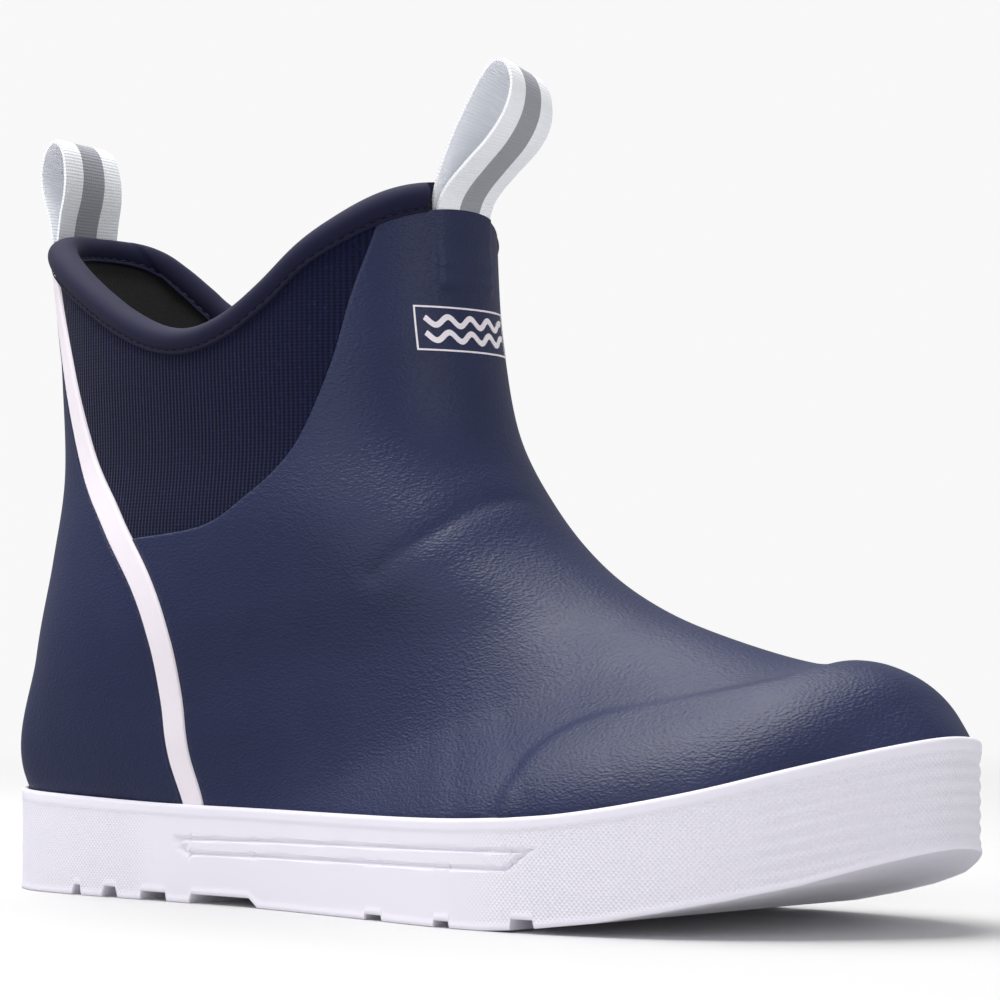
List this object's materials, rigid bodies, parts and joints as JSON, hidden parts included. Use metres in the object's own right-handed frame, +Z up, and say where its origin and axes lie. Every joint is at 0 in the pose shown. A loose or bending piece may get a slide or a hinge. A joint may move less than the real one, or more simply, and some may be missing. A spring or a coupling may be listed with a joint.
{
  "type": "rubber deck boot",
  "caption": "Ankle-height rubber deck boot for the right foot, with knit side gussets, a padded collar, two webbing pull loops and a flat white outsole.",
  "frame": {"origin": "on the ground under the middle of the boot's length and width", "axes": "+X towards the toe, +Y towards the inner (medial) side of the foot, +Z up"},
  "size_m": [0.2983, 0.1076, 0.2163],
  "materials": {
    "sole_rubber": "satin moulded rubber, fine pebbled sidewall",
    "navy_rubber": "satin, fine leather-like grain",
    "white_rubber": "smooth satin welded strip",
    "navy_knit": "ribbed knit",
    "binding_cloth": "smooth padded jersey",
    "lining_cloth": "black brushed jersey over foam",
    "foam": "closed-cell foam",
    "fibre_board": "matte",
    "stiffener": "matte sheet",
    "webbing": "cross-ribbed webbing with a grey centre stripe"
  },
  "bodies": {
    "boot": {"outsole": "sole_rubber", "midsole": "foam", "lasting_board": "fibre_board", "footbed": "foam", "bootie_lining": "lining_cloth", "toe_puff": "stiffener", "heel_counter": "stiffener", "front_shell": "navy_rubber", "heel_shell": "navy_rubber", "gusset_lateral": "navy_knit", "gusset_medial": "navy_knit", "stripe_lateral": "white_rubber", "stripe_medial": "white_rubber", "collar_binding": "binding_cloth", "front_loop_tail": "webbing", "rear_loop_tail": "webbing"},
    "front_loop": {"front_pull_loop": "webbing"},
    "rear_loop": {"rear_pull_loop": "webbing"}
  },
  "joints": [
    {"name": "front_loop_hinge", "type": "hinge", "parent": "boot", "child": "front_loop", "pos_m": [-0.0035, 0.003, 0.189], "axis": [0, 1, 0], "range_deg": [-110, 80], "stiffness_Nm_per_rad": 0.01},
    {"name": "rear_loop_hinge", "type": "hinge", "parent": "boot", "child": "rear_loop", "pos_m": [-0.1405, 0, 0.1835], "axis": [0, 1, 0], "range_deg": [-85, 95], "stiffness_Nm_per_rad": 0.01}
  ]
}
